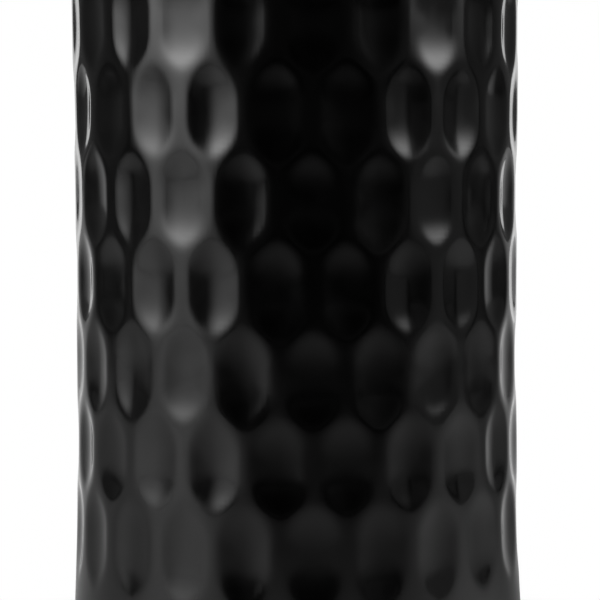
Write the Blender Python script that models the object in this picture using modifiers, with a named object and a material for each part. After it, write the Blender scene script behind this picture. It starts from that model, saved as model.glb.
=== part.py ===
"""A tall black clay pot with pressed hollows, its lift-out water liner and its felt pads.

Metres, +Z up. The origin is on the pot's axis, in the plane that the felt pads rest on, and -Y is
the pot's front. The liner's origin is on that axis too, and it slides along +Z.
"""

import math

import bpy
from mathutils import Matrix

# Clay body
WAIST_RADIUS = 0.0733  # over the ridges, where the body is narrowest
LIP_RADIUS = 0.0777
FOOT_RADIUS = 0.0758
WAIST_HEIGHT = 0.1290  # above the clay's underside
WALL = 0.0085
FLOOR = 0.0110
FOOT_ROUNDING = 0.0045
INNER_FILLET = 0.0100
RECESS_RADIUS = 0.0400  # the underside is hollowed a little, so that it can't rock
RECESS_DEPTH = 0.0015

# Pressed hollows: pointed ovals in staggered rows
HOLLOWS_AROUND = 22
ROWS = 12
ROW_PITCH = 0.0273
FRONT_TURN = math.radians(3.95)  # from the front to the lowest row's nearest hollow

# Shares of a hollow's width, which is the distance between neighbours in a row
POINT_SHARE = 0.538  # height of the pointed end
SIDE_RIDGE_SHARE = 0.115  # half the ridge beside a hollow
END_RIDGE_SHARE = 0.160  # half the ridge along a pointed end
CORNER_SHARE = 0.166  # how softly the side turns into the pointed end
TIP_ROUNDING_SHARE = 0.157
RIDGE_ROUNDING_SHARE = 0.022
DEPTH_SHARE = 0.066
HOLLOW_POWER = 1.87  # 2 would be a parabola across a hollow

# Plain bands below and above the hollows
FOOT_BAND = 0.0252
RIM_BAND = 0.0222

# Felt pads
PADS = 4
PAD_RADIUS = 0.0080
PAD_THICKNESS = 0.0025
PAD_BEVEL = 0.0004
PAD_CIRCLE_RADIUS = 0.0580
PAD_SEGMENTS = 32

# Lift-out liner
LINER_FOOT_RADIUS = 0.0560
LINER_TOP_RADIUS = 0.0640
LINER_WALL = 0.0015
LINER_CORNER = 0.0060
LIP_REACH = 0.0024
LIP_HEIGHT = 0.0032
LINER_BELOW_RIM = 0.0140

GAP = 0.0003  # between pieces that rest on each other
COLUMNS_PER_HOLLOW = 4
LINER_COLUMNS = 48
ARC_STEPS = 3
POT_FILLET_STEPS = 2
POT_LIP_STEPS = 6
INNER_WALL_STEPS = 3
MERGE = 0.00001
SHARP_ANGLE = math.radians(40)

# Sizes that follow from those above
COLUMNS = COLUMNS_PER_HOLLOW * HOLLOWS_AROUND
HOLLOW_ANGLE = 2 * math.pi / HOLLOWS_AROUND
HOLLOW_WIDTH = WAIST_RADIUS * HOLLOW_ANGLE
POINT = POINT_SHARE * HOLLOW_WIDTH
SIDE = ROW_PITCH - POINT  # straight length of a hollow's sides
CLAY_BASE = PAD_THICKNESS + GAP
WAIST = CLAY_BASE + WAIST_HEIGHT
FIELD_BOTTOM = CLAY_BASE + FOOT_BAND
LOWEST_ROW = FIELD_BOTTOM + POINT + SIDE / 2
FIELD_TOP = LOWEST_ROW + (ROWS - 1) * ROW_PITCH + SIDE / 2 + POINT
LIP_CENTRE = FIELD_TOP + RIM_BAND
CLAY_TOP = LIP_CENTRE + WALL / 2
INNER_FLOOR = CLAY_BASE + FLOOR
LINER_BASE = INNER_FLOOR + GAP
LINER_TOP = CLAY_TOP - LINER_BELOW_RIM


def clear_scene():
    for obj in list(bpy.data.objects):
        bpy.data.objects.remove(obj)


def make_collection(name):
    collection = bpy.data.collections.new(name)
    bpy.context.scene.collection.children.link(collection)
    return collection


def make_material(name, colour, roughness):
    material = bpy.data.materials.new(name)
    material.use_nodes = True
    shader = material.node_tree.nodes["Principled BSDF"]
    shader.inputs["Base Color"].default_value = (*colour, 1.0)
    shader.inputs["Roughness"].default_value = roughness
    shader.inputs["Metallic"].default_value = 0.0
    return material


def add_part(name, mesh, material, collection):
    """A finished part of this name, smooth-shaded apart from its sharp edges."""
    mesh.name = name
    mesh.materials.clear()
    mesh.materials.append(material)
    mesh.shade_smooth()
    mesh.set_sharp_from_angle(angle=SHARP_ANGLE)
    obj = bpy.data.objects.new(name, mesh)
    collection.objects.link(obj)
    return obj


def evaluated_mesh(obj):
    """The mesh of an object after its modifiers. The object itself is removed."""
    graph = bpy.context.evaluated_depsgraph_get()
    mesh = bpy.data.meshes.new_from_object(obj.evaluated_get(graph))
    bpy.data.objects.remove(obj)
    return mesh


def turned_mesh(profile, columns):
    """A profile of (radius, height) turned about +Z. It runs up the inside and down the outside."""
    mesh = bpy.data.meshes.new("profile")
    edges = [(i, i + 1) for i in range(len(profile) - 1)]
    mesh.from_pydata([(radius, 0, height) for radius, height in profile], edges, [])
    blank = bpy.data.objects.new("blank", mesh)
    bpy.context.scene.collection.objects.link(blank)
    screw = blank.modifiers.new("turn", "SCREW")
    screw.steps = columns
    screw.render_steps = columns
    screw.use_merge_vertices = True
    screw.merge_threshold = MERGE
    return evaluated_mesh(blank)


def arc(centre, radius, start, end, steps=ARC_STEPS):
    """Profile points along an arc, from angle start to angle end in degrees."""
    points = []
    for i in range(steps + 1):
        angle = math.radians(start + (end - start) * i / steps)
        points.append((centre[0] + radius * math.cos(angle), centre[1] + radius * math.sin(angle)))
    return points


def body_radius(z):
    """Radius over the ridges: a parabola from the waist to the lip, and a cubic from there to the foot."""
    if z > WAIST:
        return WAIST_RADIUS + (LIP_RADIUS - WAIST_RADIUS) * ((z - WAIST) / (LIP_CENTRE - WAIST)) ** 2
    return WAIST_RADIUS + (FOOT_RADIUS - WAIST_RADIUS) * ((WAIST - z) / WAIST_HEIGHT) ** 3


def soft_min(a, b, softness):
    share = min(1.0, max(0.0, 0.5 + 0.5 * (b - a) / softness))
    return b * (1 - share) + a * share - softness * share * (1 - share)


def oval_depth(across, along):
    """How deep one hollow is at a place, given across and along it from its centre."""
    half_width = HOLLOW_WIDTH / 2
    from_side = half_width - abs(across) - SIDE_RIDGE_SHARE * HOLLOW_WIDTH
    tip_rounding = TIP_ROUNDING_SHARE * HOLLOW_WIDTH
    rounded = math.hypot(across, tip_rounding) - tip_rounding
    from_end = (SIDE / 2 + POINT - abs(along)) * half_width - rounded * POINT
    from_end = from_end / math.hypot(POINT, half_width) - END_RIDGE_SHARE * HOLLOW_WIDTH
    inside = soft_min(from_side, from_end, CORNER_SHARE * HOLLOW_WIDTH)
    rounding = RIDGE_ROUNDING_SHARE * HOLLOW_WIDTH
    inside = rounding * math.log1p(math.exp(inside / rounding))
    share = min(1.0, inside / (half_width - SIDE_RIDGE_SHARE * HOLLOW_WIDTH))
    return DEPTH_SHARE * HOLLOW_WIDTH * (1 - (1 - share) ** HOLLOW_POWER)


def hollow_depth(angle, z):
    """How far the surface is pressed in, at an angle from the front and a height."""
    nearest = round((z - LOWEST_ROW) / ROW_PITCH)
    deepest = 0.0
    for row in (nearest - 1, nearest, nearest + 1):
        if not 0 <= row < ROWS:
            continue
        place = (angle - FRONT_TURN) / HOLLOW_ANGLE - (row % 2) / 2
        across = (place - round(place)) * HOLLOW_WIDTH
        along = z - LOWEST_ROW - row * ROW_PITCH
        deepest = max(deepest, oval_depth(across, along))
    return deepest


def field_heights():
    """Ring heights in the field of hollows: half-way up each point, both corners and the middle."""
    heights = [FIELD_BOTTOM]
    for row in range(ROWS):
        middle = LOWEST_ROW + row * ROW_PITCH
        heights += [middle - SIDE / 2 - POINT / 2, middle - SIDE / 2, middle, middle + SIDE / 2]
    return heights + [FIELD_TOP - POINT / 2, FIELD_TOP]


def pot_profile():
    corner = (body_radius(INNER_FLOOR + INNER_FILLET) - WALL - INNER_FILLET, INNER_FLOOR + INNER_FILLET)
    points = [(0.0, INNER_FLOOR)]
    points += arc(corner, INNER_FILLET, -90, 0, POT_FILLET_STEPS)
    for i in range(1, INNER_WALL_STEPS):
        z = corner[1] + (LIP_CENTRE - corner[1]) * i / INNER_WALL_STEPS
        points.append((body_radius(z) - WALL, z))
    points += arc((LIP_RADIUS - WALL / 2, LIP_CENTRE), WALL / 2, 180, 0, POT_LIP_STEPS)
    points += [(body_radius(z), z) for z in reversed(field_heights())]
    foot_edge = CLAY_BASE + FOOT_ROUNDING
    foot_centre = (body_radius(foot_edge) - FOOT_ROUNDING, foot_edge)
    points += arc(foot_centre, FOOT_ROUNDING, 0, -90, POT_FILLET_STEPS)
    points.append((RECESS_RADIUS + RECESS_DEPTH, CLAY_BASE))
    points.append((RECESS_RADIUS, CLAY_BASE + RECESS_DEPTH))
    points.append((0.0, CLAY_BASE + RECESS_DEPTH))
    return points


def press_hollows(mesh):
    """Moves the outer wall's points inwards to make the hollows."""
    for vertex in mesh.vertices:
        radius = math.hypot(vertex.co.x, vertex.co.y)
        if radius < body_radius(vertex.co.z) - WALL / 2:
            continue
        depth = hollow_depth(math.atan2(vertex.co.x, -vertex.co.y), vertex.co.z)
        vertex.co.x *= (radius - depth) / radius
        vertex.co.y *= (radius - depth) / radius


def make_pot_body(material, collection):
    """The fired clay, turned with a column of points on the middle and the edges of each hollow."""
    mesh = turned_mesh(pot_profile(), COLUMNS)
    mesh.transform(Matrix.Rotation(FRONT_TURN - math.pi / 2, 4, "Z"))
    press_hollows(mesh)
    return add_part("pot_body", mesh, material, collection)


def make_water_liner(material, collection):
    """A tapered watertight cup that stands on the clay floor and lifts out by its rolled lip."""
    corner = (LINER_FOOT_RADIUS - LINER_CORNER, LINER_BASE + LINER_CORNER)
    lip_middle = LINER_TOP - LIP_HEIGHT / 2
    inner = LINER_TOP_RADIUS - LINER_WALL
    outer = LINER_TOP_RADIUS + LIP_REACH
    rounding = LIP_HEIGHT / 2
    points = [(0.0, LINER_BASE + LINER_WALL)]
    points += arc(corner, LINER_CORNER - LINER_WALL, -90, 0)
    points += arc((inner + rounding, lip_middle), rounding, 180, 90)
    points += arc((outer - rounding, lip_middle), rounding, 90, -90, 2 * ARC_STEPS)
    points.append((LINER_TOP_RADIUS, LINER_TOP - LIP_HEIGHT))
    points += arc(corner, LINER_CORNER, 0, -90)
    points.append((0.0, LINER_BASE))
    return add_part("water_liner", turned_mesh(points, LINER_COLUMNS), material, collection)


def make_felt_pad(number, material, collection):
    """A felt disc stuck under the foot, on the diagonal between the front and a side."""
    bpy.ops.mesh.primitive_cylinder_add(vertices=PAD_SEGMENTS, radius=PAD_RADIUS, depth=PAD_THICKNESS)
    blank = bpy.context.active_object
    bevel = blank.modifiers.new("soft_edge", "BEVEL")
    bevel.width = PAD_BEVEL
    bevel.segments = 1
    bevel.limit_method = "ANGLE"
    pad = add_part(f"felt_pad_{number}", evaluated_mesh(blank), material, collection)
    angle = 2 * math.pi * (number - 0.5) / PADS
    pad.location.x = PAD_CIRCLE_RADIUS * math.sin(angle)
    pad.location.y = -PAD_CIRCLE_RADIUS * math.cos(angle)
    pad.location.z = PAD_THICKNESS / 2
    return pad


def main():
    clear_scene()
    parts = make_collection("black_clay_pot")
    clay = make_material("black_clay", (0.012, 0.012, 0.013), 0.28)
    plastic = make_material("liner_plastic", (0.030, 0.030, 0.032), 0.45)
    felt = make_material("black_felt", (0.020, 0.019, 0.018), 0.95)
    make_pot_body(clay, parts)
    make_water_liner(plastic, parts)
    for number in range(1, PADS + 1):
        make_felt_pad(number, felt, parts)


main()
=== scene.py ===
"""The looks of the black clay pot: burnished clay, its water liner, its felt pads and a white studio.

Metres, in the frame's own axes: +Z up, the pot's axis at x = y = 0, and -Y is the front. Angles round
the pot are counted from the front towards +X. The heights and radii that the frame holds come from it.
"""

import math

import bpy
import numpy as np
from mathutils import Matrix, Vector


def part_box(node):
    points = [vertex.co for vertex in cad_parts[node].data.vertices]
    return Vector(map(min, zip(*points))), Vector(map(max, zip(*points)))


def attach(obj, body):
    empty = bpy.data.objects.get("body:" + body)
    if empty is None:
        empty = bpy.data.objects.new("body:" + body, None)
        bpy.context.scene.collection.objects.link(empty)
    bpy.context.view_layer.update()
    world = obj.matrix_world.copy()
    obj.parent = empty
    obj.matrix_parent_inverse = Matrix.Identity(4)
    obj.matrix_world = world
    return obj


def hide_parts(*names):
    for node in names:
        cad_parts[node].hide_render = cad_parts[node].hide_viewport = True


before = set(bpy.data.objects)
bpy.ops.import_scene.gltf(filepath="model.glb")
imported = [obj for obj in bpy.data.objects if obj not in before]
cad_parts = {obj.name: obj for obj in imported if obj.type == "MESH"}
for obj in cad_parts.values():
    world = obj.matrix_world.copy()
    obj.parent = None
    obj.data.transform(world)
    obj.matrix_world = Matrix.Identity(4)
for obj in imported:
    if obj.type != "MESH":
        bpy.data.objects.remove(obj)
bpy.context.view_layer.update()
random = np.random.default_rng(11)

# Places that come from the frame
POT_LOW, POT_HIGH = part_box("pot_body")
LINER_LOW, LINER_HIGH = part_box("water_liner")
CLAY_BASE = POT_LOW.z
CLAY_TOP = POT_HIGH.z
LIP_RADIUS = POT_HIGH.x
LINER_BASE = LINER_LOW.z
LINER_TOP = LINER_HIGH.z
LINER_LIP_RADIUS = LINER_HIGH.x

# Clay body, as in the CAD
WAIST_RADIUS = 0.0733
FOOT_RADIUS = 0.0758
WAIST = CLAY_BASE + 0.1290
WALL = 0.0085
LIP_CENTRE = CLAY_TOP - WALL / 2
INNER_FLOOR = CLAY_BASE + 0.0110
INNER_FILLET = 0.0100
FOOT_ROUNDING = 0.0045
RECESS_RADIUS = 0.0400
RECESS_DEPTH = 0.0015

# Pressed hollows, as in the CAD
HOLLOWS_AROUND = 22
ROWS = 12
ROW_PITCH = 0.0273
FRONT_TURN = math.radians(3.95)
FOOT_BAND = 0.0252
HOLLOW_ANGLE = 2 * math.pi / HOLLOWS_AROUND
HOLLOW_WIDTH = WAIST_RADIUS * HOLLOW_ANGLE
POINT = 0.538 * HOLLOW_WIDTH
SIDE = ROW_PITCH - POINT
SIDE_RIDGE = 0.115 * HOLLOW_WIDTH
END_RIDGE = 0.160 * HOLLOW_WIDTH
CORNER = 0.166 * HOLLOW_WIDTH
TIP_ROUNDING = 0.157 * HOLLOW_WIDTH
RIDGE_ROUNDING = 0.022 * HOLLOW_WIDTH
HOLLOW_DEPTH = 0.066 * HOLLOW_WIDTH
HOLLOW_POWER = 1.87
LOWEST_ROW = CLAY_BASE + FOOT_BAND + POINT + SIDE / 2

# How the rows depart from the CAD's level and even ones. The lower halves of the lowest row are longer.
# Rows run lower at +X and higher at -X: by ROW_DIP at SLOPE_MIDDLE, and by ROW_DIP_GROWTH more for each
# SLOPE_REACH above it. Columns lean towards the front as they rise. Both stop at SLOPE_LIMIT reaches.
LOWEST_STRETCH = 1.17
SLOPE_MIDDLE = 0.1275
SLOPE_REACH = 0.0916
SLOPE_LIMIT = 1.5
ROW_DIP = 0.0004
ROW_DIP_GROWTH = 0.0008
COLUMN_LEAN = 0.0006

# How far the potter's hand strays from hollow to hollow
STRAY_PLACE = 0.00012
STRAY_TURN = math.radians(0.6)
STRAY_WIDTH = 0.00012
STRAY_DEPTH = 0.05

# How uneven the scraped wall, the wiped inside and the lip are; a lip wave is (count, height, phase)
WALL_WAVE = 0.00003
WALL_WAVES = 14
WAVES_AROUND = (2, 14)
WAVE_LENGTHS = (0.03, 0.14)
FINGER_DEPTH = 0.00012
FINGER_SPACING = 0.0600
LIP_WAVES = ((3, 0.00018, 0.7), (7, 0.00010, 2.1))

# How fine the clay's mesh is; disc rings are shares of a flat disc's radius
COLUMNS = 14 * HOLLOWS_AROUND
RING_STEP = 0.0016
INNER_RINGS = 30
LIP_RINGS = 18
FILLET_RINGS = 8
RECESS_RINGS = 3
DISC_RINGS = (0.2, 0.4, 0.6, 0.8)
FOOT_RING_RADII = (0.0655, 0.0570, 0.0480)

# Water liner. The floor's and the underside's points are (radius, height), from the middle outwards for
# the floor, which has the mould's round mark in its middle, and inwards from the ring foot underneath.
LINER_FLOOR = ((0.0, 0.0009), (0.0040, 0.0009), (0.0060, 0.0004), (0.0200, 0.0003))
LINER_UNDERSIDE = ((0.0460, 0.0), (0.0445, 0.0005), (0.0200, 0.0006), (0.0, 0.0006))
LINER_FOOT_RADIUS = 0.0560
LINER_WALL = 0.0015
LINER_CORNER = 0.0060
LINER_LIP_REACH = 0.0024
LINER_ROLL = 0.0016
LINER_SHOULDER = LINER_TOP - 0.022
SHOULDER_HEIGHT = 0.003
SHOULDER_STEP = 0.0006
COLLAR_FLARE = 0.0001
COLLAR_RING = 0.004
LIP_FLARE = 0.0002
LINER_LOWEST_RING = LINER_BASE + 0.02
LINER_RINGS = 24
LINER_CORNER_RINGS = 8
LINER_ROLL_RINGS = 6
LINER_COLUMNS = 144
LINER_SHARP_ANGLE = math.radians(50)

# Felt pads
FELT_EDGE = 0.0007
FELT_RINGS = 12
FELT_EDGE_RINGS = 5
FELT_COLUMNS = 72
FELT_FRAY = 0.00006
FELT_DENT = 0.00005
FELT_DENT_SPREAD = 0.00004
FELT_DENT_LIMIT = 0.0002

# Colours: the darkest and the lightest that each material shows
BURNISHED_CLAY = (0.0002, 0.0002, 0.0002), (0.0004, 0.0004, 0.0004)
MATTE_CLAY = (0.016, 0.0155, 0.0155), (0.034, 0.033, 0.032)
PLASTIC = (0.020, 0.021, 0.022), (0.026, 0.027, 0.028)
FELT = (0.010, 0.010, 0.011), (0.034, 0.033, 0.034)
WHITE = (1, 1, 1, 1)

# Light panels and room
PANEL_BOTTOM = 0.005
LEFT_GLOW_LOW = 0.95
LEFT_GLOW_RISE = 28.0
LEFT_GLOW_TOP = 0.65
HORIZON_GLOW = 0.040
HORIZON_FADE = 16.0

# Table: painted shade, how pale its colour is made in front of the pot, near and far, and the distance over
# which it darkens
TABLE_HALF = 3.0
TABLE_TURN = math.radians(12)
TABLE_NEAR = 0.69
TABLE_FAR = 0.07
TABLE_FADE = 0.25
CONTACT_REACH = 0.06

# Camera
CAMERA_DISTANCE = 0.8453
CAMERA_HEIGHT = 0.1945
CAMERA_PITCH = math.radians(5.03)
CAMERA_PAN = math.radians(-0.080)
CAMERA_ROLL = math.radians(-0.236)
CAMERA_LENS = 152.2
CAMERA_SENSOR = 36.0
CAMERA_NEAR = 0.01
CAMERA_FAR = 50


# ---------------------------------------------------------------- meshes

def arc(centre, radius, start, end, steps):
    """Profile points (radius, height) along an arc, from angle start to angle end in degrees."""
    angles = np.radians(np.linspace(start, end, steps + 1))
    return [(centre[0] + radius * math.cos(a), centre[1] + radius * math.sin(a)) for a in angles]


def new_object(name, data):
    """An object in the scene, for a mesh or a camera."""
    obj = bpy.data.objects.new(name, data)
    bpy.context.scene.collection.objects.link(obj)
    return obj


def revolve(name, profile, columns, turn=0.0, shape=None):
    """A closed mesh turned from (radius, height) points that start and end on the axis.

    The profile runs up the inside and down the outside. shape takes arrays of angle, radius and height
    and returns the changed radius and height.
    """
    angles = turn + 2 * np.pi * np.arange(columns) / columns
    points = np.array(profile[1:-1])
    radius = np.repeat(points[:, 0], columns)
    height = np.repeat(points[:, 1], columns)
    angle = np.tile(angles, len(points))
    if shape:
        radius, height = shape(angle, radius, height)
    ring_points = np.stack([radius * np.sin(angle), -radius * np.cos(angle), height], axis=1)
    poles = [(0, 0, profile[0][1]), (0, 0, profile[-1][1])]
    vertices = np.concatenate([ring_points, poles])

    column = np.arange(columns)
    beside = (column + 1) % columns
    faces = []
    for ring in range(len(points) - 1):
        here = ring * columns
        below = here + columns
        quads = np.stack([here + column, below + column, below + beside, here + beside], axis=1)
        faces += quads.tolist()
    first_pole = len(ring_points)
    last_pole = first_pole + 1
    last_ring = (len(points) - 1) * columns
    pairs = list(zip(column.tolist(), beside.tolist()))
    faces += [(first_pole, a, b) for a, b in pairs]
    faces += [(last_pole, last_ring + b, last_ring + a) for a, b in pairs]

    mesh = bpy.data.meshes.new(name)
    mesh.from_pydata(vertices.tolist(), [], faces)
    mesh.validate()
    mesh.shade_smooth()
    return new_object(name, mesh)


def store_values(obj, name, values):
    """Stores one number for each vertex, for a material to read."""
    attribute = obj.data.attributes.new(name, "FLOAT", "POINT")
    attribute.data.foreach_set("value", np.asarray(values, np.float32))


def coordinates(obj):
    """The vertices' places, one row each."""
    flat = np.zeros(len(obj.data.vertices) * 3, np.float32)
    obj.data.vertices.foreach_get("co", flat)
    return flat.reshape(-1, 3)


def smooth_step(low, high, value):
    """0 up to low, 1 from high on, and a smooth rise in between."""
    share = np.clip((value - low) / (high - low), 0, 1)
    return share * share * (3 - 2 * share)


def soft_min(a, b, softness):
    """The smaller of two values, with the corner where they cross rounded off."""
    share = np.clip(0.5 + 0.5 * (b - a) / softness, 0, 1)
    return b * (1 - share) + a * share - softness * share * (1 - share)


def finish_piece(obj, material, body, node):
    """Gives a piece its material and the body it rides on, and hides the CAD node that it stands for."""
    obj.data.materials.append(material)
    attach(obj, body)
    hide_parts(node)


# ---------------------------------------------------------------- clay body

def body_radius(z):
    """Radius over the ridges: a parabola from the waist to the lip, and a cubic from there to the foot."""
    above = np.clip((z - WAIST) / (LIP_CENTRE - WAIST), 0, None)
    below = np.clip((WAIST - z) / (WAIST - CLAY_BASE), 0, None)
    return WAIST_RADIUS + (LIP_RADIUS - WAIST_RADIUS) * above**2 + (FOOT_RADIUS - WAIST_RADIUS) * below**3


def oval_depth(across, along, wider, deeper):
    """How deep a hollow is at places given across and along it from its centre."""
    half_width = HOLLOW_WIDTH / 2
    from_side = half_width + wider - np.abs(across) - SIDE_RIDGE
    rounded = np.hypot(across, TIP_ROUNDING) - TIP_ROUNDING
    from_end = (SIDE / 2 + POINT - np.abs(along)) * half_width - rounded * POINT
    from_end = from_end / math.hypot(POINT, half_width) + wider - END_RIDGE
    inside = soft_min(from_side, from_end, CORNER)
    inside = RIDGE_ROUNDING * np.logaddexp(0, inside / RIDGE_ROUNDING)
    share = np.clip(inside / (half_width - SIDE_RIDGE), 0, 1)
    return HOLLOW_DEPTH * deeper * (1 - (1 - share) ** HOLLOW_POWER)


def hollow_strays():
    """Small differences between hollows: a table of (row, place round the pot) for each kind."""
    size = (ROWS, HOLLOWS_AROUND)
    return {
        "across": random.normal(0, STRAY_PLACE, size),
        "along": random.normal(0, STRAY_PLACE, size),
        "turn": random.normal(0, STRAY_TURN, size),
        "wider": random.normal(0, STRAY_WIDTH, size),
        "deeper": 1 + random.normal(0, STRAY_DEPTH, size),
    }


def hollow_depth(angle, z, strays):
    """How far the surface is pressed in, from the row that a height lies in and the rows beside it."""
    nearest = np.round((z - LOWEST_ROW) / ROW_PITCH).astype(int)
    higher = np.clip((z - SLOPE_MIDDLE) / SLOPE_REACH, -SLOPE_LIMIT, SLOPE_LIMIT)
    dip = (ROW_DIP + ROW_DIP_GROWTH * higher) * np.sin(angle)
    lean_in = higher * np.sin(angle)
    deepest = np.zeros_like(z)
    for step in (-1, 0, 1):
        row = nearest + step
        place = (angle - FRONT_TURN) / HOLLOW_ANGLE - (row % 2) / 2
        number = np.round(place).astype(int)
        held = np.clip(row, 0, ROWS - 1), number % HOLLOWS_AROUND
        across = (place - number) * HOLLOW_WIDTH - strays["across"][held] + COLUMN_LEAN * lean_in
        along = z - LOWEST_ROW - row * ROW_PITCH - strays["along"][held] + dip
        along = np.where((row == 0) & (along < 0), along / LOWEST_STRETCH, along)
        turn = strays["turn"][held]
        turned_across = across + along * turn
        turned_along = along - across * turn
        depth = oval_depth(turned_across, turned_along, strays["wider"][held], strays["deeper"][held])
        deepest = np.maximum(deepest, np.where((row >= 0) & (row < ROWS), depth, 0))
    return deepest


def wall_wave(angle, z):
    """The slow unevenness of a hand-scraped wall: a few seeded waves that close round the pot."""
    total = np.zeros_like(z)
    for _ in range(WALL_WAVES):
        around = random.integers(*WAVES_AROUND)
        length = random.uniform(*WAVE_LENGTHS)
        phase = random.uniform(0, 2 * np.pi, 2)
        total += np.sin(around * angle + phase[0]) * np.sin(2 * np.pi * z / length + phase[1])
    return WALL_WAVE * total


def shape_clay(angle, radius, height):
    """Presses the hollows into the outer wall and makes the turned surfaces a little uneven."""
    outside = (radius > body_radius(height) - WALL / 4) & (height < LIP_CENTRE)
    pressed = np.where(outside, hollow_depth(angle, height, hollow_strays()), 0)
    uneven = wall_wave(angle, height)
    inner_wall = (radius < body_radius(height) - WALL * 0.9) & (height > INNER_FLOOR + INNER_FILLET)
    fingers = FINGER_DEPTH * np.sin(2 * np.pi * height / FINGER_SPACING + angle) * inner_wall
    lip = smooth_step(LIP_CENTRE - WALL, LIP_CENTRE + WALL / 2, height)
    lip_wave = sum(rise * lip * np.sin(count * angle + phase) for count, rise, phase in LIP_WAVES)
    return radius - pressed + uneven + fingers, height + lip_wave


def clay_profile():
    """The clay's outline, from the middle of the inner floor over the lip to the middle underneath."""
    corner_height = INNER_FLOOR + INNER_FILLET
    corner = (float(body_radius(corner_height)) - WALL - INNER_FILLET, corner_height)
    points = [(0.0, INNER_FLOOR)]
    points += [(corner[0] * share, INNER_FLOOR) for share in DISC_RINGS]
    points += arc(corner, INNER_FILLET, -90, 0, FILLET_RINGS)
    inner_heights = np.linspace(corner_height, LIP_CENTRE, INNER_RINGS + 1)[1:-1]
    points += [(body_radius(z) - WALL, z) for z in inner_heights]
    points += arc((LIP_RADIUS - WALL / 2, LIP_CENTRE), WALL / 2, 180, 0, LIP_RINGS)
    foot_edge = CLAY_BASE + FOOT_ROUNDING
    outer_heights = np.linspace(LIP_CENTRE, foot_edge, round((LIP_CENTRE - foot_edge) / RING_STEP) + 1)
    points += [(body_radius(z), z) for z in outer_heights[1:-1]]
    points += arc((body_radius(foot_edge) - FOOT_ROUNDING, foot_edge), FOOT_ROUNDING, 0, -90, FILLET_RINGS)
    points += [(radius, CLAY_BASE) for radius in FOOT_RING_RADII]
    recess_top = CLAY_BASE + RECESS_DEPTH
    points += arc((RECESS_RADIUS + RECESS_DEPTH, recess_top), RECESS_DEPTH, -90, -180, RECESS_RINGS)
    points += [(RECESS_RADIUS * share, recess_top) for share in reversed(DISC_RINGS)]
    return points + [(0.0, recess_top)]


def make_clay(material):
    """The fired clay: walls, floor, rim and foot in one closed surface."""
    clay = revolve("clay_body", clay_profile(), COLUMNS, FRONT_TURN, shape_clay)
    points = coordinates(clay)
    height = points[:, 2]
    radius = np.hypot(points[:, 0], points[:, 1])
    outside = smooth_step(-WALL, -WALL * 0.35, radius - body_radius(height))
    outside *= smooth_step(CLAY_BASE, CLAY_BASE + FOOT_ROUNDING * 0.8, height)
    store_values(clay, "burnish", outside)
    wear_reach = 0.004
    foot_wear = 1 - smooth_step(CLAY_BASE, CLAY_BASE + wear_reach, height)
    store_values(clay, "wear", foot_wear * smooth_step(RECESS_RADIUS, RECESS_RADIUS + wear_reach, radius))
    finish_piece(clay, material, "pot", "pot_body")


# ---------------------------------------------------------------- liner and pads

def liner_radius(z):
    """Outer radius of the liner's tapered side."""
    top_radius = LINER_LIP_RADIUS - LINER_LIP_REACH
    slope = (top_radius - LINER_FOOT_RADIUS) / (LINER_TOP - LINER_BASE)
    return LINER_FOOT_RADIUS + slope * (z - LINER_BASE)


def liner_lip():
    """From the inner wall over the shoulder and the rolled lip to the outer wall's highest ring."""
    shoulder_radius = liner_radius(LINER_SHOULDER)
    inner_radius = shoulder_radius - LINER_WALL
    top_radius = LINER_LIP_RADIUS - LINER_LIP_REACH
    roll_height = LINER_TOP - LINER_ROLL
    points = [(inner_radius, LINER_SHOULDER), (inner_radius + COLLAR_FLARE, LINER_SHOULDER + COLLAR_RING)]
    points += arc((top_radius - LINER_WALL + LINER_ROLL, roll_height), LINER_ROLL, 180, 90, LINER_ROLL_RINGS)
    points += arc((LINER_LIP_RADIUS - LINER_ROLL, roll_height), LINER_ROLL, 90, -90, 2 * LINER_ROLL_RINGS)
    points.append((top_radius + LIP_FLARE, LINER_TOP - 2 * LINER_ROLL))
    points.append((shoulder_radius + COLLAR_FLARE, LINER_SHOULDER))
    points.append((shoulder_radius - SHOULDER_STEP, LINER_SHOULDER - SHOULDER_HEIGHT))
    return points


def make_liner(material):
    """A moulded cup with a rolled lip, a stacking shoulder under it and a ring foot."""
    corner = (LINER_FOOT_RADIUS - LINER_CORNER, LINER_BASE + LINER_CORNER)
    heights = np.linspace(LINER_LOWEST_RING, LINER_SHOULDER - SHOULDER_HEIGHT, LINER_RINGS)
    wall = [(liner_radius(z) - SHOULDER_STEP, z) for z in heights]
    points = [(radius, LINER_BASE + LINER_WALL + rise) for radius, rise in LINER_FLOOR]
    points += arc(corner, LINER_CORNER - LINER_WALL, -90, 0, LINER_CORNER_RINGS)
    points += [(radius - LINER_WALL, z) for radius, z in wall]
    points += liner_lip()
    points += reversed(wall[:-1])
    points += arc(corner, LINER_CORNER, 0, -90, LINER_CORNER_RINGS)
    points += [(radius, LINER_BASE + rise) for radius, rise in LINER_UNDERSIDE]
    liner = revolve("liner_cup", points, LINER_COLUMNS)
    liner.data.set_sharp_from_angle(angle=LINER_SHARP_ANGLE)
    finish_piece(liner, material, "liner", "water_liner")


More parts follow.
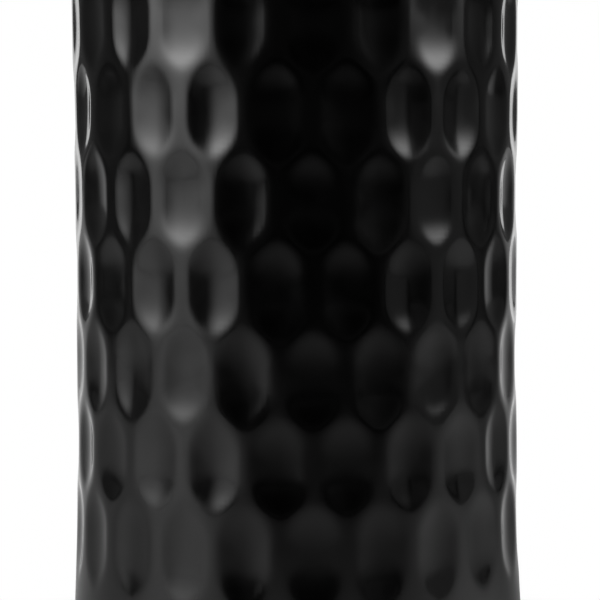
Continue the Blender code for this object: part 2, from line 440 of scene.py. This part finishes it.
def make_felt_disc(number, material):
    """A punched felt disc: a rounded edge, a slightly frayed rim and dented faces."""
    node = f"felt_pad_{number}"
    low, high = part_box(node)
    centre = (low + high) / 2
    radius = (high.x - low.x) / 2
    thickness = high.z - low.z
    flat_radius = radius - FELT_EDGE
    rings = np.linspace(0, flat_radius, FELT_RINGS + 2)[1:-1]
    profile = [(0.0, thickness)]
    profile += [(ring, thickness) for ring in rings]
    profile += arc((flat_radius, thickness - FELT_EDGE), FELT_EDGE, 90, 0, FELT_EDGE_RINGS)
    profile += arc((flat_radius, FELT_EDGE), FELT_EDGE, 0, -90, FELT_EDGE_RINGS)
    profile += [(ring, 0.0) for ring in rings[::-1]]
    profile.append((0.0, 0.0))

    def fray_and_dent(angle, ring, z):
        near_edge = smooth_step(radius * 0.8, radius, ring)
        frayed = random.normal(0, FELT_FRAY, ring.shape) * near_edge
        dented = np.clip(random.normal(FELT_DENT, FELT_DENT_SPREAD, ring.shape), 0, FELT_DENT_LIMIT)
        return ring - np.abs(frayed), np.where(z < thickness / 2, z + dented, z - dented)

    disc = revolve(f"felt_disc_{number}", profile, FELT_COLUMNS, 0.0, fray_and_dent)
    disc.location = (centre.x, centre.y, low.z)
    finish_piece(disc, material, "pot", node)


# ---------------------------------------------------------------- material nodes

def new_material(name):
    """A node material: returns it, its node tree and its Principled shader."""
    material = bpy.data.materials.new(name)
    material.use_nodes = True
    tree = material.node_tree
    return material, tree, tree.nodes["Principled BSDF"]


def new_bare_material(name):
    """A material with no nodes yet: returns it and its node tree."""
    material = bpy.data.materials.new(name)
    material.use_nodes = True
    material.node_tree.nodes.clear()
    return material, material.node_tree


def set_input(tree, socket, value):
    """Links the value if it is a node's output, or else stores it."""
    if isinstance(value, bpy.types.NodeSocket):
        tree.links.new(value, socket)
    else:
        socket.default_value = value


def add(tree, kind, **inputs):
    """A node with its inputs set. An input's name is written with _ for a space."""
    node = tree.nodes.new(kind)
    for key, value in inputs.items():
        set_input(tree, node.inputs[key.replace("_", " ")], value)
    return node


def calculate(tree, operation, *values):
    """A sum or other operation on numbers and outputs."""
    node = tree.nodes.new("ShaderNodeMath")
    node.operation = operation
    for socket, value in zip(node.inputs, values):
        set_input(tree, socket, value)
    return node.outputs[0]


def multiply(tree, a, b):
    """The product of two numbers or outputs."""
    return calculate(tree, "MULTIPLY", a, b)


def remap(tree, value, source, target, smooth=True):
    """Maps the range source to the range target, smoothly or in a straight line, and stays within it."""
    node = tree.nodes.new("ShaderNodeMapRange")
    node.interpolation_type = "SMOOTHSTEP" if smooth else "LINEAR"
    tree.links.new(value, node.inputs["Value"])
    for key, number in zip(("From Min", "From Max", "To Min", "To Max"), (*source, *target)):
        node.inputs[key].default_value = number
    return node.outputs["Result"]


def noise(tree, place, scale, detail=2.0, roughness=0.5):
    """Cloudy noise, mostly between 0.3 and 0.7."""
    node = add(tree, "ShaderNodeTexNoise", Vector=place, Scale=scale, Detail=detail, Roughness=roughness)
    return node.outputs["Fac"]


def stretched(tree, place, *scale):
    """A place scaled along x, y and z, for grain that runs one way."""
    return add(tree, "ShaderNodeMapping", Vector=place, Scale=scale).outputs["Vector"]


def mix_numbers(tree, share, a, b):
    """From a at share 0 to b at share 1."""
    node = tree.nodes.new("ShaderNodeMix")
    for socket, value in zip((node.inputs["Factor"], node.inputs[2], node.inputs[3]), (share, a, b)):
        set_input(tree, socket, value)
    return node.outputs[0]


def mix_colours(tree, share, a, b):
    """From a at share 0 to b at share 1. Each is (red, green, blue) or a node's output."""
    node = tree.nodes.new("ShaderNodeMix")
    node.data_type = "RGBA"
    tree.links.new(share, node.inputs["Factor"])
    for socket, colour in zip((node.inputs[6], node.inputs[7]), (a, b)):
        set_input(tree, socket, (*colour, 1) if isinstance(colour, tuple) else colour)
    return node.outputs[2]


def stored_value(tree, name):
    """The number that store_values kept under a name."""
    node = tree.nodes.new("ShaderNodeAttribute")
    node.attribute_name = name
    return node.outputs["Fac"]


def object_place(tree):
    """The place in the object's own coordinates."""
    return tree.nodes.new("ShaderNodeTexCoord").outputs["Object"]


def world_place(tree):
    """The place in the scene, as x, y and z."""
    position = tree.nodes.new("ShaderNodeNewGeometry").outputs["Position"]
    split = add(tree, "ShaderNodeSeparateXYZ", Vector=position)
    return split.outputs["X"], split.outputs["Y"], split.outputs["Z"]


def add_bump(tree, shader, height, strength, distance):
    """Fine relief on a shader."""
    bump = add(tree, "ShaderNodeBump", Strength=strength, Distance=distance, Height=height)
    tree.links.new(bump.outputs["Normal"], shader.inputs["Normal"])


# ---------------------------------------------------------------- materials

def clay_roughness(tree, burnish, cloud, strokes):
    """Satin outside, varied by rubbing strokes and shinier seen along the surface; matte inside."""
    satin = remap(tree, strokes, (0.3, 0.7), (0.125, 0.165))
    satin = calculate(tree, "ADD", satin, remap(tree, cloud, (0.35, 0.65), (-0.015, 0.02)))
    facing = add(tree, "ShaderNodeLayerWeight", Blend=0.5).outputs["Facing"]
    satin = multiply(tree, satin, remap(tree, facing, (0.55, 0.90), (1.0, 0.55)))
    matte = 0.74
    return mix_numbers(tree, burnish, matte, satin)


def clay_relief(tree, burnish, grain, strokes):
    """Soft rubbing strokes outside, and a fine grain that is strong only inside."""
    stroke_height = 0.25
    grain_limit = 1.15
    rubbed = multiply(tree, multiply(tree, strokes, burnish), stroke_height)
    fine = multiply(tree, grain, calculate(tree, "SUBTRACT", grain_limit, burnish))
    return calculate(tree, "ADD", rubbed, fine)


def clay_material():
    """Barro negro: fired black and rubbed to a satin shine outside, left matte and dusty inside."""
    material, tree, shader = new_material("burnished_black_clay")
    place = object_place(tree)
    burnish = stored_value(tree, "burnish")
    wear = stored_value(tree, "wear")
    cloud = noise(tree, place, scale=38.0, detail=3.0)
    grain = noise(tree, place, scale=1500.0)
    strokes = noise(tree, stretched(tree, place, 240.0, 240.0, 34.0), scale=1.0, detail=3.0, roughness=0.55)

    burnished = mix_colours(tree, cloud, *BURNISHED_CLAY)
    matte = mix_colours(tree, grain, *MATTE_CLAY)
    worn_off = multiply(tree, wear, 0.7)
    colour = mix_colours(tree, calculate(tree, "SUBTRACT", burnish, worn_off), matte, burnished)
    tree.links.new(colour, shader.inputs["Base Color"])
    tree.links.new(clay_roughness(tree, burnish, cloud, strokes), shader.inputs["Roughness"])
    shader.inputs["IOR"].default_value = 1.5
    add_bump(tree, shader, clay_relief(tree, burnish, grain, strokes), strength=0.5, distance=0.00006)
    return material


def liner_material():
    """Matte moulded plastic: a fine even grain from the mould."""
    material, tree, shader = new_material("dark_matte_plastic")
    place = object_place(tree)
    grain = noise(tree, place, scale=2600.0, detail=1.0)
    cloud = noise(tree, place, scale=60.0)
    tree.links.new(mix_colours(tree, cloud, *PLASTIC), shader.inputs["Base Color"])
    tree.links.new(remap(tree, cloud, (0.3, 0.7), (0.44, 0.54)), shader.inputs["Roughness"])
    add_bump(tree, shader, grain, strength=0.35, distance=0.00004)
    return material


def felt_material():
    """Pressed black felt: soft fibres, no shine."""
    material, tree, shader = new_material("black_felt")
    along_fibres = stretched(tree, object_place(tree), 900.0, 2600.0, 1800.0)
    fibre = noise(tree, along_fibres, scale=1.0, detail=4.0, roughness=0.7)
    tree.links.new(mix_colours(tree, fibre, *FELT), shader.inputs["Base Color"])
    shader.inputs["Roughness"].default_value = 1.0
    shader.inputs["Specular IOR Level"].default_value = 0.1
    shader.inputs["Sheen Weight"].default_value = 0.4
    shader.inputs["Sheen Roughness"].default_value = 0.6
    add_bump(tree, shader, fibre, strength=0.9, distance=0.0002)
    return material


# ---------------------------------------------------------------- light panels

def glow_material(name, strength, build):
    """A light panel's glow: build takes the tree and returns the brightness."""
    material, tree = new_bare_material(name)
    glow = add(tree, "ShaderNodeEmission", Color=WHITE, Strength=multiply(tree, build(tree), strength))
    add(tree, "ShaderNodeOutputMaterial", Surface=glow.outputs[0])
    return material


def add_panel(name, bearing, distance, width, top, build, strength):
    """An upright panel that faces the pot, unseen by the camera. A bearing is in degrees."""
    mesh = bpy.data.meshes.new(name)
    half = width / 2
    corners = [(-half, 0, PANEL_BOTTOM), (half, 0, PANEL_BOTTOM), (half, 0, top), (-half, 0, top)]
    mesh.from_pydata(corners, [], [(0, 1, 2, 3)])
    layer = mesh.uv_layers.new(name="panel")
    for corner, place in zip(layer.data, ((0, 0), (1, 0), (1, 1), (0, 1))):
        corner.uv = place
    mesh.materials.append(glow_material(name + "_glow", strength, build))
    obj = new_object(name, mesh)
    turn = math.radians(bearing)
    obj.location = Vector((distance * math.sin(turn), -distance * math.cos(turn), 0.0))
    obj.rotation_euler.z = turn
    obj.visible_camera = False


def across_panel(tree):
    """0 at the left side of a panel and 1 at its right side."""
    uv = tree.nodes.new("ShaderNodeUVMap").outputs["UV"]
    return add(tree, "ShaderNodeSeparateXYZ", Vector=uv).outputs["X"]


def soft_sides(tree, edge):
    """1 across the middle of a panel, falling smoothly to 0 over the share `edge` at both sides."""
    across = across_panel(tree)
    rising = remap(tree, across, (0.0, edge), (0.0, 1.0))
    return multiply(tree, rising, remap(tree, across, (1 - edge, 1.0), (1.0, 0.0)))


def left_glow(tree):
    """A tall cloth lit from above: dim at the table and bright over the pot."""
    height = calculate(tree, "MINIMUM", world_place(tree)[2], LEFT_GLOW_TOP)
    height_squared = multiply(tree, height, height)
    level = calculate(tree, "MULTIPLY_ADD", height_squared, LEFT_GLOW_RISE, LEFT_GLOW_LOW)
    return multiply(tree, level, soft_sides(tree, edge=0.35))


def right_glow(tree):
    """A softbox whose lower edge fades out above the middle of the pot."""
    level = remap(tree, world_place(tree)[2], (0.17, 0.54), (0.03, 1.0))
    return multiply(tree, level, soft_sides(tree, edge=0.18))


def back_glow(tree):
    """Bright at both sides; darker in the middle, which the pot hides from the lights."""
    from_middle = calculate(tree, "ABSOLUTE", calculate(tree, "SUBTRACT", across_panel(tree), 0.5))
    level = remap(tree, from_middle, (0.14, 0.30), (0.12, 1.0))
    return multiply(tree, level, remap(tree, from_middle, (0.45, 0.50), (1.0, 0.0)))


def add_lights():
    """A cloth at the left, a softbox at the right and a bright wall behind the pot."""
    add_panel("left_panel", bearing=-62, distance=1.0, width=1.16, top=1.0, build=left_glow, strength=1.0)
    add_panel("right_panel", bearing=76, distance=1.0, width=0.80, top=1.1, build=right_glow, strength=6.2)
    add_panel("back_panel", bearing=180, distance=1.2, width=1.6, top=1.6, build=back_glow, strength=1.15)


# ---------------------------------------------------------------- table and room

def seen_or_mirrored(tree, mirrored, seen):
    """One shader for the light and for what the clay mirrors, and another for what the camera sees."""
    path = tree.nodes.new("ShaderNodeLightPath")
    choice = add(tree, "ShaderNodeMixShader", Fac=path.outputs["Is Camera Ray"])
    tree.links.new(mirrored, choice.inputs[1])
    tree.links.new(seen, choice.inputs[2])
    return choice.outputs[0]


def table_painted_shade(tree, x, y, reach):
    """Painted shade: the table's colour darkens with distance in front of the pot and towards the far left
    and far right, standing in for light that falls off; beside and behind the pot it stays pale.
    """
    aimed = multiply(tree, x, math.sin(TABLE_TURN))
    aimed = calculate(tree, "MULTIPLY_ADD", y, -math.cos(TABLE_TURN), aimed)
    front = calculate(tree, "DIVIDE", aimed, reach)
    fading = calculate(tree, "EXPONENT", calculate(tree, "DIVIDE", reach, -TABLE_FADE))
    ahead = calculate(tree, "MULTIPLY_ADD", fading, TABLE_NEAR, TABLE_FAR)
    far_right = remap(tree, x, (0.05, 0.55), (1.0, 0.55))
    far_left = remap(tree, x, (-0.40, -0.08), (0.80, 1.0))
    beside = remap(tree, front, (-0.25, 0.3), (0.48, 0.88))
    beside = multiply(tree, beside, multiply(tree, far_right, far_left))
    sideward = remap(tree, front, (0.35, 0.97), (1.0, 0.0))
    return mix_numbers(tree, sideward, ahead, beside)


def lit_paper(tree, x, y):
    """The glow of a paper sweep behind the pot, brightest at both sides of it."""
    behind = remap(tree, y, (0.08, 0.35), (0.0, 0.72))
    spread = calculate(tree, "DIVIDE", calculate(tree, "ABSOLUTE", x), y)
    sides = remap(tree, spread, (0.38, 1.5), (0.9, 0.0), smooth=False)
    sides = multiply(tree, sides, remap(tree, spread, (0.14, 0.28), (0.15, 1.0)))
    return add(tree, "ShaderNodeEmission", Color=WHITE, Strength=multiply(tree, behind, sides)).outputs[0]


def white_with_contact_shadow(tree, reach):
    """Plain white, darker only where the pot meets the table."""
    contact = add(tree, "ShaderNodeAmbientOcclusion", Distance=CONTACT_REACH)
    contact.samples = 8
    shade = remap(tree, contact.outputs["AO"], (0.25, 0.98), (0.30, 1.0))
    away = remap(tree, reach, (LIP_RADIUS * 1.2, LIP_RADIUS * 2.0), (0.0, 1.0))
    shade = calculate(tree, "MAXIMUM", shade, away)
    return add(tree, "ShaderNodeEmission", Color=WHITE, Strength=shade).outputs[0]


def table_material():
    """Table for the light that bounces off it, with painted shade in front of the pot; plain white with a
    contact shadow for the camera.
    """
    material, tree = new_bare_material("white_table")
    x, y, _ = world_place(tree)
    length = tree.nodes.new("ShaderNodeVectorMath")
    length.operation = "LENGTH"
    tree.links.new(add(tree, "ShaderNodeCombineXYZ", X=x, Y=y).outputs[0], length.inputs[0])
    reach = length.outputs["Value"]
    # painted shade: the table's colour darkens in front of the pot and far to the sides, standing in for
    # light that falls off
    diffuse = add(tree, "ShaderNodeBsdfDiffuse", Color=table_painted_shade(tree, x, y, reach))
    pale = tree.nodes.new("ShaderNodeAddShader")
    tree.links.new(diffuse.outputs[0], pale.inputs[0])
    tree.links.new(lit_paper(tree, x, y), pale.inputs[1])
    surface = seen_or_mirrored(tree, pale.outputs[0], white_with_contact_shadow(tree, reach))
    add(tree, "ShaderNodeOutputMaterial", Surface=surface)
    return material


def add_table():
    """The table, which isn't part of the object: plain white to the camera, with painted shade in what the
    clay mirrors.
    """
    mesh = bpy.data.meshes.new("table")
    half = TABLE_HALF
    corners = [(-half, -half, 0), (half, -half, 0), (half, half, 0), (-half, half, 0)]
    mesh.from_pydata(corners, [], [(0, 1, 2, 3)])
    mesh.materials.append(table_material())
    new_object("table", mesh)


def add_room():
    """White behind everything for the camera; a dim room for what the clay mirrors."""
    world = bpy.data.worlds.new("room")
    world.use_nodes = True
    tree = world.node_tree
    tree.nodes.clear()
    direction = tree.nodes.new("ShaderNodeNewGeometry").outputs["Incoming"]
    split = add(tree, "ShaderNodeSeparateXYZ", Vector=direction)
    level = remap(tree, split.outputs["Y"], (0.65, 0.98), (0.075, 0.005))
    from_horizon = calculate(tree, "ABSOLUTE", split.outputs["Z"])
    fading = calculate(tree, "EXPONENT", multiply(tree, from_horizon, -HORIZON_FADE))
    level = calculate(tree, "MULTIPLY_ADD", fading, HORIZON_GLOW, level)
    dim = add(tree, "ShaderNodeBackground", Color=WHITE, Strength=level)
    white = add(tree, "ShaderNodeBackground", Color=WHITE, Strength=1.0)
    surface = seen_or_mirrored(tree, dim.outputs[0], white.outputs[0])
    add(tree, "ShaderNodeOutputWorld", Surface=surface)
    bpy.context.scene.world = world


def add_camera():
    """A long lens that looks slightly down from the front."""
    data = bpy.data.cameras.new("camera")
    data.lens = CAMERA_LENS
    data.sensor_width = CAMERA_SENSOR
    data.clip_start = CAMERA_NEAR
    data.clip_end = CAMERA_FAR
    camera = new_object("camera", data)
    aim = Matrix.Rotation(CAMERA_PAN, 4, "Z") @ Matrix.Rotation(math.pi / 2 - CAMERA_PITCH, 4, "X")
    aim = aim @ Matrix.Rotation(CAMERA_ROLL, 4, "Z")
    camera.matrix_world = Matrix.Translation((0.0, -CAMERA_DISTANCE, CAMERA_HEIGHT)) @ aim
    bpy.context.scene.camera = camera


def set_view():
    """Plain display colours, with no contrast curve."""
    view = bpy.context.scene.view_settings
    view.view_transform = "Standard"
    view.look = "None"


make_clay(clay_material())
make_liner(liner_material())
felt = felt_material()
for number in (1, 2, 3, 4):
    make_felt_disc(number, felt)
add_lights()
add_table()
add_room()
add_camera()
set_view()
